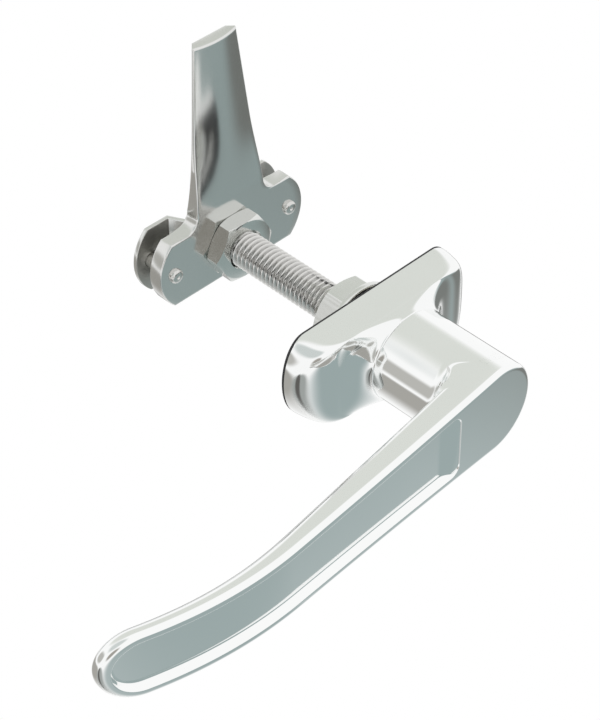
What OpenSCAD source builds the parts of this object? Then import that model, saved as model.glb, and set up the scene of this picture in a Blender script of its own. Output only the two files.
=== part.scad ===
// L-handle cam latch: a cast handle turns a threaded spindle that carries a two-rod cam.
// The origin lies on the spindle axis at the door face. +Y runs into the door, +Z is up
// and the grip points along -X.

/* [Handle] */
// Diameter of the round neck
neck_d = 25; // [24:0.5:26]
// Distance from the door face to the handle's front face at the spindle
handle_reach = 43.3; // [43:0.1:55]
// Length of the grip from the spindle axis to its tip
grip_len = 120; // [110:1:150]
// Height of the grip near its tip
grip_h = 19.8; // [16:0.2:21]
// Thickness of the grip at its tip
tip_t = 5.5; // [5:0.1:7]
// Thickness of the grip where it meets the neck
root_t = 9; // [8.4:0.1:10]
// Radius along the edges of the grip
edge_r = 2.8; // [2:0.1:3.2]
// Angle at which the grip leans away from the door
lean_deg = 3.8; // [0:0.2:6]
// Depth by which the tip curls back towards the door
curl = 12.2; // [0:0.1:16]
// Distance from the spindle at which the curl starts
curl_start = 70; // [50:1:80]
// Distance from the spindle over which the grip's outline tapers
taper_len = 95; // [70:1:98]
// Radius of the hollow between the neck and the grip
neck_fillet = 8; // [4:0.5:9]

/* [Grip panel] */
// Depth of the panel sunk into the grip's front
panel_depth = 1.8; // [0.8:0.1:2.2]
// Width of the rim round the panel
panel_rim = 2.3; // [1.8:0.1:4]
// Distance from the spindle to the near end of the panel
panel_start = 14; // [10:0.5:30]
// Corner radius at the near end of the panel
panel_corner = 3; // [2:0.5:5]

/* [Escutcheon] */
// Length of the escutcheon along X
esc_l = 59; // [57:0.5:70]
// Height of the escutcheon along Z
esc_h = 24.8; // [24.4:0.2:25.4]
// Distance from the door face to the front of the end lobes
lobe_h = 9.9; // [9.7:0.1:11]
// Distance from the door face to the front of the round collar
collar_h = 14; // [13.8:0.1:16]
// Length over which each end lobe falls to the door
nose_len = 9.5; // [6:0.5:9.5]
// Length of the rounded ends of the outline on the door
end_len = 7; // [5:0.5:8]
// Thickness of the gasket
gasket_t = 0.6; // [0.5:0.1:1]
// Spacing of the two tapped fixing holes
screw_spacing = 36; // [35:0.5:37]
// Diameter of the tapped fixing holes
screw_hole_d = 4.2; // [3.3:0.1:4.4]
// Depth of the tapped fixing holes from the gasket inwards
screw_depth = 7.5; // [5:0.5:7.5]
// Depth of the cored pockets in the back
pocket_depth = 5; // [3:0.5:5.5]

/* [Bearing and stops] */
// Diameter of the handle's journal
journal_d = 18; // [17.5:0.5:18.5]
// Wall of the neck bush
bush_wall = 1.5; // [1.2:0.1:1.5]
// Thickness of the thrust washer
thrust_t = 1.3; // [1:0.1:1.4]
// Section diameter of the neck seal
seal_d = 1.8; // [1.4:0.1:1.9]
// Diameter of the cross pin that drives the spindle
cross_pin_d = 3; // [2:0.1:3]
// Turn of the handle between its stops
turn_deg = 90; // [45:5:120]
// Width of the fixed stop lug
stop_deg = 60; // [40:5:80]
// Length of the stop zone at the back of the bore
stop_len = 5.5; // [5:0.1:5.8]

/* [Spindle and nuts] */
// Diameter of the spindle
spindle_d = 10; // [9:0.5:10]
// Distance from the door face to the spindle's rear end
spindle_end = 61.8; // [61.8:0.1:80]
// Length of the spindle held in the handle, measured from the door face
spindle_seat = 36; // [24:0.5:36]
// Width of the hexagon nuts across their flats
nut_af = 17; // [15:0.5:17]
// Thickness of the two thin nuts that clamp the cam
thin_nut_t = 5; // [4:0.1:5.2]
// Thickness of the retaining nut
retaining_nut_t = 6.7; // [5:0.1:8]
// Angle by which the retaining nut stands off level
retaining_nut_turn = 4; // [0:1:59]
// Thickness of the slide washer behind the escutcheon
slide_washer_t = 1.5; // [1.2:0.1:2]
// Height of the spring washer as fitted
spring_h = 1; // [0.8:0.1:1.4]
// Diameter of the retaining washer
retaining_d = 22.4; // [20:0.2:22.4]
// Thickness of the retaining washer
retaining_t = 1.5; // [1:0.1:3]

/* [Cam] */
// Distance from the door face to the front of the cam plate
cam_pos = 48.6; // [34:0.2:48.6]
// Thickness of the cam plate
plate_t = 4.4; // [3:0.1:4.4]
// Overall width across the ears
cam_w = 50; // [48:0.5:56]
// Height of the ears above and below the axis
ear_half_h = 9.85; // [9:0.05:11]
// Radius of the rounded ear ends
ear_end_r = 13.1; // [12:0.1:16]
// Radius of the hollow between ear and tongue
ear_fillet = 4; // [2:0.5:5]
// Distance from the axis to the tip of the tongue
tongue_reach = 60.7; // [45:0.1:80]
// Width of the tongue at its root
tongue_root_w = 23; // [20:0.5:24]
// Width of the tongue at its tip
tongue_tip_w = 14.2; // [10:0.2:18]
// Distance by which the tip of the tongue leans back
tongue_lean = 2.4; // [0:0.1:4]
// Distance by which the tongue's sides draw in towards the back at its tip
tongue_draft = 1.6; // [0:0.1:2]
// Height of the crown across the tongue's front
tongue_crown = 0.5; // [0.1:0.1:0.9]

/* [Rod fork] */
// Gap between cam plate and strap for the rod ends
fork_gap = 4.9; // [4.6:0.1:5]
// Thickness of the rear strap
strap_t = 1.3; // [1:0.1:1.4]
// Width of the strap's middle where it lies on the plate
strap_mid_w = 22.4; // [22:0.2:24]
// Distance along X over which each web runs back
web_run = 2.5; // [1.5:0.1:3]
// Diameter of the rod pins
rod_pin_d = 4; // [3:0.1:4.5]
// Spacing of the rod pins
rod_pin_spacing = 40; // [39:0.5:41]
// Length by which the rod pins stand proud of plate and strap
rod_pin_proud = 1.2; // [0.8:0.1:2]

/* [Fits] */
// Radial clearance of turning and sliding fits
run_gap = 0.05; // [0.02:0.01:0.1]
// Clearance round loosely fitted pieces
loose_gap = 0.3; // [0.25:0.05:0.4]
// Gap between the neck and the escutcheon's collar
neck_gap = 0.3; // [0.2:0.05:0.4]
// Free play of the stop lug at each end of the turn
stop_play_deg = 1; // [0.5:0.5:3]

/* [Hidden] */
$fn = 96;

chrome = [0.80, 0.82, 0.82];
steel = [0.66, 0.67, 0.65];
nickel = [0.55, 0.60, 0.60];
black_rubber = [0.06, 0.06, 0.06];
polymer = [0.85, 0.83, 0.76];

neck_r = neck_d / 2;
journal_r = journal_d / 2;
spindle_r = spindle_d / 2;
bush_r = journal_r + run_gap + bush_wall;
thread_r = spindle_r + run_gap;
grip_half = grip_h / 2;

// Places along Y, from the front to the back
neck_y = -(collar_h + neck_gap);
bush_y = neck_y + thrust_t;
seal_y = bush_y + 1.5;
cross_pin_y = -(stop_len + 2.5);
journal_end_y = -(gasket_t + 0.6);
retaining_y = slide_washer_t - gasket_t + spring_h;
retaining_nut_y = retaining_y + retaining_t;
strap_y = cam_pos + plate_t;
strap_ear_y = strap_y + fork_gap;
through = 2 * (spindle_end + handle_reach);

function clamp01(t) = max(0, min(1, t));
function smooth(t) = clamp01(t) * clamp01(t) * (3 - 2 * clamp01(t));

// Faces of a loft through rings of n points each, closed by strips across mirrored points
function side_faces(n, rings) = [
    for (k = [0 : rings - 2], i = [0 : n - 1])
        each [
            [k * n + i, (k + 1) * n + i, (k + 1) * n + (i + 1) % n],
            [k * n + i, (k + 1) * n + (i + 1) % n, k * n + (i + 1) % n]
        ]
];
function back_cap(n) = [
    for (i = [0 : n / 2 - 1])
        each [
            if (i < n / 2 - 1) [i, i + 1, n - i - 1],
            if (i > 0) [i, n - i - 1, n - i]
        ]
];
function front_cap(n, first) = [
    for (face = back_cap(n)) [face[0] + first, face[2] + first, face[1] + first]
];
module ring_loft(rings) {
    n = len(rings[0]);
    last = n * (len(rings) - 1);
    points = [for (ring = rings) each ring];
    polyhedron(points = points, faces = concat(side_faces(n, len(rings)), back_cap(n), front_cap(n, last)));
}

// The upper half of an outline from +X to -X, followed by its mirror image below
function whole_loop(upper) = concat(
    upper,
    [for (i = [len(upper) - 2 : -1 : 1]) [upper[i][0], -upper[i][1]]]
);
function loop_normals(loop) = [
    for (i = [0 : len(loop) - 1])
        let (n = len(loop), step = loop[(i + 1) % n] - loop[(i + n - 1) % n])
        [-step[1], step[0]] / norm(step)
];
function inset(loop, normals, d) = [for (i = [0 : len(loop) - 1]) loop[i] + normals[i] * d];

// Shapes that run along +Y, with flat outlines drawn in X and Z
module along_y(y) {
    translate([0, y, 0])
        rotate([-90, 0, 0])
            children();
}
module plate(y, t) {
    translate([0, y + t, 0])
        rotate([90, 0, 0])
            linear_extrude(t)
                children();
}
module ring(y, t, outer_r, inner_r) {
    along_y(y)
        difference() {
            cylinder(r = outer_r, h = t);
            translate([0, 0, -1])
                cylinder(r = inner_r, h = t + 2);
        }
}
// Sector of a ring, with angles counted from +X towards +Z
module ring_sector(y, t, inner_r, outer_r, from, to) {
    steps = 8;
    reach = 2 * outer_r;
    plate(y, t)
        intersection() {
            difference() {
                circle(r = outer_r);
                circle(r = inner_r);
            }
            polygon(concat(
                [[0, 0]],
                [for (i = [0 : steps]) let (a = from + (to - from) * i / steps) reach * [cos(a), sin(a)]]
            ));
        }
}

// Handle: u is the distance from the spindle axis towards the grip's tip
hub_step = 0.25;
hub_r = neck_r - hub_step;
taper_deg = atan(2 * (hub_r - grip_half) / taper_len);
taper_u = hub_r * sin(taper_deg);
taper_h = hub_r * cos(taper_deg) - grip_half;
tip_u = grip_len - grip_half;
function front_y(u) =
    -(handle_reach + u * tan(lean_deg))
    + curl * pow(clamp01((u - curl_start) / (grip_len - curl_start)), 2);
function grip_t(u) = tip_t + (root_t - tip_t) * pow(1 - clamp01(u / grip_len), 2);
function back_y(u) = front_y(u) + grip_t(u);
function grip_half_at(u) = grip_half + taper_h * pow(1 - clamp01((u - taper_u) / taper_len), 2);
hub_steps = 14;
grip_steps = 22;
tip_steps = 10;
function grip_upper() = concat(
    [
        for (i = [0 : hub_steps])
            let (a = (90 + taper_deg) * i / hub_steps)
            [hub_r * cos(a), hub_r * sin(a)]
    ],
    [
        for (i = [1 : grip_steps])
            let (u = taper_u + (tip_u - taper_u) * i / grip_steps)
            [-u, grip_half_at(u)]
    ],
    [
        for (i = [1 : tip_steps])
            let (a = 90 * i / tip_steps)
            [-(tip_u + grip_half * sin(a)), grip_half_at(tip_u) * cos(a)]
    ]
);
// One ring of the rounded edge: at angle a it has drawn in from the outline and risen to the face
function edge_radius(u) = min(edge_r, grip_t(u) / 2 - 0.1);
function grip_ring(loop, normals, back, a) = [
    for (i = [0 : len(loop) - 1])
        let (
            r = edge_radius(-loop[i][0]),
            p = loop[i] + normals[i] * r * (1 - cos(a)),
            rise = r * (1 - sin(a))
        )
        [p[0], back ? back_y(-p[0]) - rise : front_y(-p[0]) + rise, p[1]]
];
edge_angles = [0, 18, 36, 54, 72, 90];
module grip_body() {
    loop = whole_loop(grip_upper());
    normals = loop_normals(loop);
    ring_loft(concat(
        [for (i = [len(edge_angles) - 1 : -1 : 0]) grip_ring(loop, normals, true, edge_angles[i])],
        [for (a = edge_angles) grip_ring(loop, normals, false, a)]
    ));
}
panel_u = panel_start + panel_corner;
panel_tip_r = grip_half_at(tip_u) - panel_rim;
corner_steps = 6;
function panel_upper() = concat(
    [[-panel_start, 0]],
    [
        for (i = [0 : corner_steps])
            let (a = 90 * i / corner_steps, h = grip_half_at(panel_u) - panel_rim - panel_corner)
            [-(panel_u - panel_corner * cos(a)), h + panel_corner * sin(a)]
    ],
    [
        for (i = [1 : grip_steps])
            let (u = panel_u + (tip_u - panel_u) * i / grip_steps)
            [-u, grip_half_at(u) - panel_rim]
    ],
    [
        for (i = [1 : tip_steps])
            let (a = 90 * i / tip_steps)
            [-(tip_u + panel_tip_r * sin(a)), panel_tip_r * cos(a)]
    ]
);
// Share of the panel's depth and inset from its edge, from the floor outwards
panel_floor_r = 0.6;
panel_profile = [[1, panel_floor_r], [0.9, 0.3], [0.67, 0.12], [0, 0], [-0.8, 0]];
module grip_panel() {
    loop = whole_loop(panel_upper());
    normals = loop_normals(loop);
    ring_loft([
        for (s = panel_profile)
            [
                for (p = inset(loop, normals, s[1]))
                    [p[0], front_y(-p[0]) + s[0] * panel_depth, p[1]]
            ]
    ]);
}
// Hollow between the neck and the grip's back: set off towards the grip, so it fades out round the neck
flare_shift = 7;
flare_sink = 0.15;
flare_core_r = neck_r - flare_shift - flare_sink;
flare_ring_r = flare_core_r + neck_fillet;
flare_y = back_y(flare_shift + flare_ring_r - neck_fillet / 2);
module neck_flare() {
    intersection() {
        translate([-flare_shift, 0, 0])
            difference() {
                along_y(flare_y - 2)
                    cylinder(r = flare_ring_r, h = neck_fillet + 2);
                along_y(flare_y + neck_fillet)
                    rotate_extrude()
                        translate([flare_ring_r, 0])
                            circle(r = neck_fillet);
            }
        plate(flare_y - 3, neck_fillet + 4)
            polygon([
                for (side = [1, -1], k = [0 : 6])
                    let (u = (flare_shift + flare_ring_r + 1) * (side > 0 ? k : 6 - k) / 6)
                    [-u, side * (grip_half_at(u) - 0.5)]
            ]);
    }
}
// Notch in the journal's rear end, which runs over the fixed stop lug
lug_from = 270 - stop_deg / 2;
notch_r = spindle_r + 1.5;
seal_groove_w = seal_d + 0.4;
module cross_pin_hole() {
    translate([0, cross_pin_y, 0])
        cylinder(d = cross_pin_d + 2 * run_gap, h = 2 * neck_d, center = true);
}
module handle() {
    color(chrome)
        difference() {
            union() {
                difference() {
                    grip_body();
                    grip_panel();
                }
                along_y(front_y(0) + root_t / 2)
                    cylinder(r = neck_r, h = neck_y - front_y(0) - root_t / 2);
                neck_flare();
                along_y(neck_y - 1)
                    cylinder(r = journal_r, h = journal_end_y - neck_y + 1);
            }
            along_y(-spindle_seat - loose_gap)
                cylinder(r = thread_r, h = spindle_seat);
            cross_pin_hole();
            ring(seal_y - seal_groove_w / 2, seal_groove_w, neck_r, journal_r - seal_d);
            ring_sector(
                -stop_len, stop_len + 1, notch_r, journal_r + 1,
                lug_from - turn_deg - stop_play_deg, lug_from + stop_deg + stop_play_deg
            );
        }
}

// Escutcheon: levels that shrink from the outline on the door to the round collar
esc_a = esc_l / 2;
esc_b = esc_h / 2;
esc_steps = 16;
// Outline of one level, from the long rounded outline on the door to the circle of the collar,
// with fuller corners on the levels between
level_flat_min = 0.3;
level_fullness = 6;
function level_upper(half_l) =
    let (
        t = (half_l - neck_r) / (esc_a - neck_r),
        flat = level_flat_min + (esc_a - end_len - level_flat_min) * t,
        half_h = neck_r + (esc_b - neck_r) * t,
        bend = 2 / (2 + level_fullness * t * (1 - t))
    )
    [
        for (side = [1, -1])
            for (i = [0 : esc_steps])
                let (a = side > 0 ? 90 * i / esc_steps : 90 - 90 * i / esc_steps)
                [side * (flat + (half_l - flat) * pow(cos(a), bend)), half_h * pow(sin(a), bend)]
    ];
function level_ring(half_l, y) = [for (p = whole_loop(level_upper(half_l))) [p[0], y, p[1]]];
// Each lobe falls to the door on an elliptical nose and rises to the collar on an elliptical fillet
lobe_half_l = esc_a - nose_len;
level_angles = [0 : 15 : 90];
module esc_body() {
    ring_loft(concat(
        [
            for (a = level_angles)
                level_ring(lobe_half_l + nose_len * cos(a), -gasket_t - (lobe_h - gasket_t) * sin(a))
        ],
        [
            for (a = [75 : -15 : 0])
                level_ring(
                    neck_r + (lobe_half_l - neck_r) * (1 - cos(a)),
                    -collar_h + (collar_h - lobe_h) * sin(a)
                )
        ]
    ));
}
module fixing_points() {
    for (side = [-1, 1])
        translate([side * screw_spacing / 2, 0, 0])
            children();
}
// Cored pocket round each fixing boss, open at the back
pocket_l = 13;
pocket_h = 14;
screw_boss_wall = 1.8;
fixing_boss_r = screw_hole_d / 2 + screw_boss_wall;
core_wall = 2.2;
module cored_pockets() {
    difference() {
        fixing_points()
            plate(-gasket_t - pocket_depth, pocket_depth + 1)
                square([pocket_l, pocket_h], center = true);
        along_y(-collar_h)
            cylinder(r = bush_r + core_wall, h = 2 * collar_h);
        fixing_points()
            along_y(-collar_h)
                cylinder(r = fixing_boss_r, h = 2 * collar_h);
    }
}
// Each fixing boss stands through the gasket, so that a screw pulls metal against the door
spigot_step = 0.3;
spigot_r = fixing_boss_r - spigot_step;
module fixing_spigots() {
    fixing_points()
        along_y(-2 * gasket_t)
            cylinder(r = spigot_r, h = 2 * gasket_t);
}
thrust_r = bush_r + 0.45;
module escutcheon() {
    color(chrome)
        difference() {
            union() {
                difference() {
                    esc_body();
                    cored_pockets();
                }
                fixing_spigots();
            }
            along_y(-collar_h - 1)
                cylinder(r = thrust_r + loose_gap, h = 1 + collar_h + bush_y);
            along_y(-collar_h)
                cylinder(r = bush_r, h = collar_h - stop_len);
            difference() {
                along_y(-collar_h)
                    cylinder(r = journal_r + loose_gap, h = collar_h + 1);
                ring_sector(
                    -stop_len + loose_gap, stop_len + 2, notch_r + loose_gap, journal_r + 1,
                    lug_from, lug_from + stop_deg
                );
            }
            fixing_points()
                along_y(-gasket_t - screw_depth)
                    cylinder(d = screw_hole_d, h = gasket_t + screw_depth + 1);
        }
}
gasket_hole_r = journal_r + 2.5;
module gasket() {
    color(black_rubber)
        difference() {
            plate(-gasket_t, gasket_t)
                polygon(whole_loop(level_upper(esc_a)));
            along_y(-gasket_t - 1)
                cylinder(r = gasket_hole_r, h = gasket_t + 2);
            fixing_points()
                along_y(-gasket_t - 1)
                    cylinder(r = spigot_r + loose_gap, h = gasket_t + 2);
        }
}

// Bearing pieces inside the escutcheon
module neck_bush() {
    color(polymer)
        ring(bush_y, -stop_len - bush_y, bush_r, journal_r + run_gap);
}
module neck_seal() {
    color(black_rubber)
        along_y(seal_y)
            rotate_extrude()
                translate([journal_r - seal_d / 2, 0])
                    circle(d = seal_d, $fn = 32);
}
module thrust_washer() {
    color(polymer)
        ring(neck_y, thrust_t, thrust_r, journal_r + loose_gap);
}

// Turned bar along +Y with a chamfer at both ends
module chamfered_bar(y, length, r, chamfer) {
    along_y(y)
        rotate_extrude()
            polygon([
                [0, 0],
                [r - chamfer, 0],
                [r, chamfer],
                [r, length - chamfer],
                [r - chamfer, length],
                [0, length]
            ]);
}

// Spindle and the pieces that hold the handle in the door
spindle_chamfer = 1;
module spindle() {
    color(steel)
        difference() {
            chamfered_bar(-spindle_seat, spindle_seat + spindle_end, spindle_r, spindle_chamfer);
            cross_pin_hole();
        }
}
spindle_pin_l = journal_d - 0.4;
module spindle_pin() {
    color(steel)
        translate([0, cross_pin_y, 0])
            cylinder(d = cross_pin_d, h = spindle_pin_l, center = true);
}
module slide_washer() {
    color(polymer)
        ring(-gasket_t, slide_washer_t, gasket_hole_r - 2 * loose_gap, spindle_r + loose_gap);
}
spring_t = 0.5;
module spring_washer() {
    inner_r = spindle_r + loose_gap;
    outer_r = journal_r + 1.5;
    color(steel)
        along_y(retaining_y - spring_h)
            rotate_extrude()
                polygon([
                    [inner_r, spring_h - spring_t],
                    [outer_r, 0],
                    [outer_r, spring_t],
                    [inner_r, spring_h]
                ]);
}
module retaining_washer() {
    color(steel)
        ring(retaining_y, retaining_t, retaining_d / 2, spindle_r + loose_gap);
}
nut_corner_r = nut_af / 2 / cos(30);
nut_face_r = nut_af / 2 - 0.1;
nut_chamfer_deg = 38;
module hex_nut(y, t, turn) {
    rim_r = nut_corner_r + 1;
    fall = (rim_r - nut_face_r) * tan(nut_chamfer_deg);
    color(steel)
        along_y(y)
            difference() {
                intersection() {
                    rotate([0, 0, turn])
                        cylinder(r = nut_corner_r, h = t, $fn = 6);
                    rotate_extrude()
                        polygon([
                            [0, 0],
                            [nut_face_r, 0],
                            [rim_r, fall],
                            [rim_r, t - fall],
                            [nut_face_r, t],
                            [0, t]
                        ]);
                }
                translate([0, 0, -1])
                    cylinder(r = thread_r, h = t + 2);
            }
}
module retaining_nut() {
    hex_nut(retaining_nut_y, retaining_nut_t, retaining_nut_turn);
}
module jam_nut() {
    hex_nut(cam_pos - thin_nut_t, thin_nut_t, 0);
}
module rear_nut() {
    hex_nut(strap_y + strap_t, thin_nut_t, 0);
}

// Cam plate and strap share the outline of the ears
module ears() {
    intersection() {
        square([cam_w, 2 * ear_half_h], center = true);
        union() {
            for (side = [-1, 1])
                translate([side * (cam_w / 2 - ear_end_r), 0])
                    circle(r = ear_end_r);
            square([cam_w - 2 * ear_end_r, 2 * ear_half_h], center = true);
        }
    }
}
module ear_hollows() {
    half = tongue_root_w / 2;
    difference() {
        translate([-half - ear_fillet, 0])
            square([tongue_root_w + 2 * ear_fillet, ear_half_h + ear_fillet]);
        for (side = [-1, 1])
            translate([side * (half + ear_fillet), ear_half_h + ear_fillet])
                circle(r = ear_fillet);
    }
}
tongue_foot = ear_half_h + ear_fillet;
tongue_columns = 8;
tongue_rows = 12;
tongue_thin = 0.6;
// Section of the tongue at height z: across the front, then back along the rear
function tongue_section(z) =
    let (
        t = clamp01((z - tongue_foot) / (tongue_reach - tongue_foot)),
        half = (tongue_root_w + (tongue_tip_w - tongue_root_w) * t) / 2,
        front = cam_pos + tongue_lean * t,
        rear = front + plate_t - tongue_thin * t,
        rear_half = half - tongue_draft * (1 - pow(1 - t, 6)),
        crown = tongue_crown * smooth(3 * t)
    )
    concat(
        [
            for (j = [0 : tongue_columns])
                let (s = 2 * j / tongue_columns - 1)
                [s * half, front + crown * s * s, z]
        ],
        [[rear_half, rear, z], [-rear_half, rear, z]]
    );
module tongue() {
    n = tongue_columns + 3;
    corner = n - 2;
    rows = concat(
        [tongue_section(0)],
        [
            for (i = [0 : tongue_rows])
                tongue_section(tongue_foot + (tongue_reach - tongue_foot) * i / tongue_rows)
        ]
    );
    top = n * (len(rows) - 1);
    polyhedron(
        points = [for (row = rows) each row],
        faces = concat(
            side_faces(n, len(rows)),
            [for (j = [0 : tongue_columns - 1]) [corner, j, j + 1]],
            [[corner, n - 1, 0]],
            [for (j = [0 : tongue_columns - 1]) [top + corner, top + j + 1, top + j]],
            [[top + corner, top, top + n - 1]]
        )
    );
}
module spindle_and_pin_holes() {
    along_y(0)
        cylinder(r = thread_r, h = through);
    for (side = [-1, 1])
        translate([side * rod_pin_spacing / 2, 0, 0])
            along_y(0)
                cylinder(d = rod_pin_d, h = through);
}
module cam_plate() {
    color(nickel)
        difference() {
            union() {
                plate(cam_pos, plate_t)
                    union() {
                        ears();
                        ear_hollows();
                    }
                tongue();
            }
            spindle_and_pin_holes();
        }
}
// Half of the strap's bent outline in X and Y: the front face outwards, then the back face inwards
web_back = strap_t * tan(atan2(fork_gap, web_run) / 2);
function strap_half(side) = [
    for (p = [
        [strap_mid_w / 2, strap_y],
        [strap_mid_w / 2 + web_run, strap_ear_y],
        [cam_w, strap_ear_y],
        [cam_w, strap_ear_y + strap_t],
        [strap_mid_w / 2 + web_run - web_back, strap_ear_y + strap_t],
        [strap_mid_w / 2 - web_back, strap_y + strap_t]
    ])
        [side * p[0], p[1]]
];
module rear_strap() {
    left = strap_half(-1);
    color(nickel)
        difference() {
            intersection() {
                translate([0, 0, -2 * ear_half_h])
                    linear_extrude(4 * ear_half_h)
                        polygon(concat(strap_half(1), [for (i = [5 : -1 : 0]) left[i]]));
                plate(strap_y - 1, fork_gap + strap_t + 2)
                    ears();
            }
            spindle_and_pin_holes();
        }
}
rod_pin_chamfer = 0.5;
module rod_pins() {
    length = plate_t + fork_gap + strap_t + 2 * rod_pin_proud;
    color(steel)
        for (side = [-1, 1])
            translate([side * rod_pin_spacing / 2, 0, 0])
                chamfered_bar(cam_pos - rod_pin_proud, length, rod_pin_d / 2, rod_pin_chamfer);
}

handle();
escutcheon();
gasket();
neck_bush();
neck_seal();
thrust_washer();
spindle();
spindle_pin();
slide_washer();
spring_washer();
retaining_washer();
retaining_nut();
jam_nut();
rear_nut();
cam_plate();
rear_strap();
rod_pins();
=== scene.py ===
import math
import bmesh
import bpy
from mathutils import Matrix, Vector


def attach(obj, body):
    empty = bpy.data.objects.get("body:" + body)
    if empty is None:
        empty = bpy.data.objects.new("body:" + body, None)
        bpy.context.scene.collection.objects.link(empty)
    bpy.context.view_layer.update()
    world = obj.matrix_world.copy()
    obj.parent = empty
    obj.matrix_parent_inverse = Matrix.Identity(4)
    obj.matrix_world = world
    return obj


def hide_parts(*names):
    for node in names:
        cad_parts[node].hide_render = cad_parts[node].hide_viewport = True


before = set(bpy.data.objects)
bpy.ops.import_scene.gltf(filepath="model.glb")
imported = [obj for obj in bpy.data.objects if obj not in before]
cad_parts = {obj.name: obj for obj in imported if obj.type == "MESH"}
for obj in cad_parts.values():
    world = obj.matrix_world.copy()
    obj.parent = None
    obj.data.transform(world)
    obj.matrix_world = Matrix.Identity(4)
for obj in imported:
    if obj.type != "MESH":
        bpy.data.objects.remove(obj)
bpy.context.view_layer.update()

# All sizes below are in millimetres in the CAD frame; meshes are scaled to metres when they are made.
MM = 0.001

# Handle: u is the distance from the spindle axis towards the tip of the grip
NECK_R = 12.5
NECK_Y = -14.05
JOURNAL_R = 9.0
JOURNAL_END_Y = -1.2
JOURNAL_CHAMFER = 0.4
SPINDLE_HOLE_R = 5.05
SPINDLE_HOLE_END_Y = -36.3
HANDLE_REACH = 43.2
GRIP_LEN = 120.0
GRIP_HALF = 9.9
TIP_T = 5.5
ROOT_T = 9.0
FRONT_R = 1.4
BACK_R = 2.4
BACK_TIP_INSET = 5.0
BACK_RAMP = (40.0, 100.0)
SIDE_BAND = 0.4
FACE_BAND = 0.2
LEAN = math.tan(math.radians(3.8))
CURL = 12.2
CURL_START = 70.0
TAPER_LEN = 95.0
NECK_FILLET = 5.0
FLARE_EDGE = 90.0
FLARE_FULL = 60.0
FLARE_ROUND = 2.0
FLARE_SINK = 0.1
FLARE_CLEAR = 0.02
ROW_STAGGER = 0.002
PANEL_DEPTH = 1.8
PANEL_RIM = 2.3
PANEL_START = 14.0
PANEL_CORNER = 3.0
PANEL_DRAFT = 30.0
PANEL_FILLET = 0.4
PANEL_NEAR_SHARE = 0.2
PANEL_RUN_IN = 6.0

# Panel edge as steps of (inward, depth), from the rim and from the foot of the wall
PANEL_LIP = [(-0.3, 0.0), (-0.12, 0.0), (-0.04, 0.02), (0.04, 0.1)]
PANEL_HOLLOW = [(0.12, 0.2), (0.28, 0.34)]
PANEL_FLOOR_STEPS = (0.5, 0.9)

# Escutcheon
ESC_A = 29.5
ESC_B = 12.4
GASKET_T = 0.6
LOBE_H = 9.9
COLLAR_H = 14.0
NOSE_LEN = 9.5
END_LEN = 7.0
LEVEL_FLAT_MIN = 0.3
LEVEL_FULLNESS = 18.0
NECK_BORE_R = 10.6
SCREW_X = 18.0
SCREW_R = 2.1
SCREW_DEPTH = 7.5
SPIGOT_R = 3.6
ESC_CUT_Y = (-30.0, 10.0)
GASKET_EDGE_R = 0.15

# Spindle
SPINDLE_Y = (-36.0, 61.8)
SPINDLE_R = 5.0
SPINDLE_CHAMFER = 1.0
THREAD_PITCH = 1.5
THREAD_DEPTH = 0.78
THREAD_COLUMNS = 73
ROWS_PER_TURN = 10
CREST_SHARE = 0.12
FLANK_SLOPE = 1.3
WHOLE_TURNS = 1000.0

# Nuts as (first y, thickness, turn in degrees)
NUT_AF = 17.0
NUT_FACE_INSET = 0.1
NUT_MOUTH = 0.5
NUT_CHAMFER_DEG = 30.0
NUT_RIM_IN = 0.15
NUT_RIM_OUT = 0.1
NUT_RIM_FALL = 0.07
RETAINING_NUT = (3.4, 6.7, 4.0)
JAM_NUT = (43.6, 5.0, 0.0)
REAR_NUT = (54.3, 5.0, 0.0)

# Washers as (inner radius, outer radius, first y, last y, edge)
SLIDE_WASHER = (5.3, 10.9, -0.6, 0.9, 0.15)
RETAINING_WASHER = (5.3, 11.2, 1.9, 3.4, 0.2)

# Cam
CAM_Y = 48.6
PLATE_T = 4.4
EAR_H = 9.85
EAR_END_R = 13.1
EAR_CENTRE_X = 11.9
EAR_FILLET = 4.0
TONGUE_FOOT = 13.85
TONGUE_TIP = 60.7
TONGUE_ROOT_HALF = 11.5
TONGUE_TIP_HALF = 7.1
TONGUE_LEAN = 2.4
TONGUE_THIN = 0.6
TONGUE_DRAFT = 1.6
TONGUE_CROWN = 1.25
PLATE_EDGE_R = 0.5
PLATE_EDGE_STEPS = [0.0, 0.06, 0.17, 0.32, 0.5]
PLATE_CUT_Y = (40.0, 60.0)
EAR_MIDDLE = 9.1
EAR_STEP = 0.004
TIP_BAND = 0.9
CROWN_RUN = 2.2
DRAFT_POWER = 6
# Strap faces whose normal points further towards -Y than this get the painted shade
STRAP_EDGE_R = 0.3
STRAP_PAINTED_SHADE_NORMAL = -0.5
PIN_X = 20.0
PIN_R = 2.0
PIN_Y = (47.4, 60.4)
PIN_DOME_R = 0.9
PIN_DIMPLE = [(0, 0.45), (0.35, 0.3), (0.55, 0.0)]

# Mesh settings, in metres and degrees
MERGE_DIST = 2e-6
TINY_EDGE = 1e-7
WELD_DIST = 1e-6
SHARP_DEG = 35.0
CAST_SHARP_DEG = 40.0
NUT_SHARP_DEG = 20.0
BEVEL_DEG = 40.0
FLAT_DEG = 1.0

# Camera fitted to the photo, in metres
CAMERA_PLACE = (-0.2922, -0.2800, 0.3531)
CAMERA_BACK = (-0.5152, -0.5363, 0.6685)
CAMERA_RIGHT = (0.7147, -0.6995, -0.0104)
CAMERA_LENS = 108.57
CAMERA_SENSOR = 36.0


def clamp01(t):
    return max(0.0, min(1.0, t))


def smoothstep(t):
    t = clamp01(t)
    return t * t * (3 - 2 * t)


def mix(a, b, t):
    return a + (b - a) * t


def soft_min(a, b, width):
    """The lesser of two values, with the change from one to the other rounded over a width."""
    if width <= 0:
        return min(a, b)
    h = clamp01(0.5 + 0.5 * (b - a) / width)
    return mix(b, a, h) - width * h * (1 - h)


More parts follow.
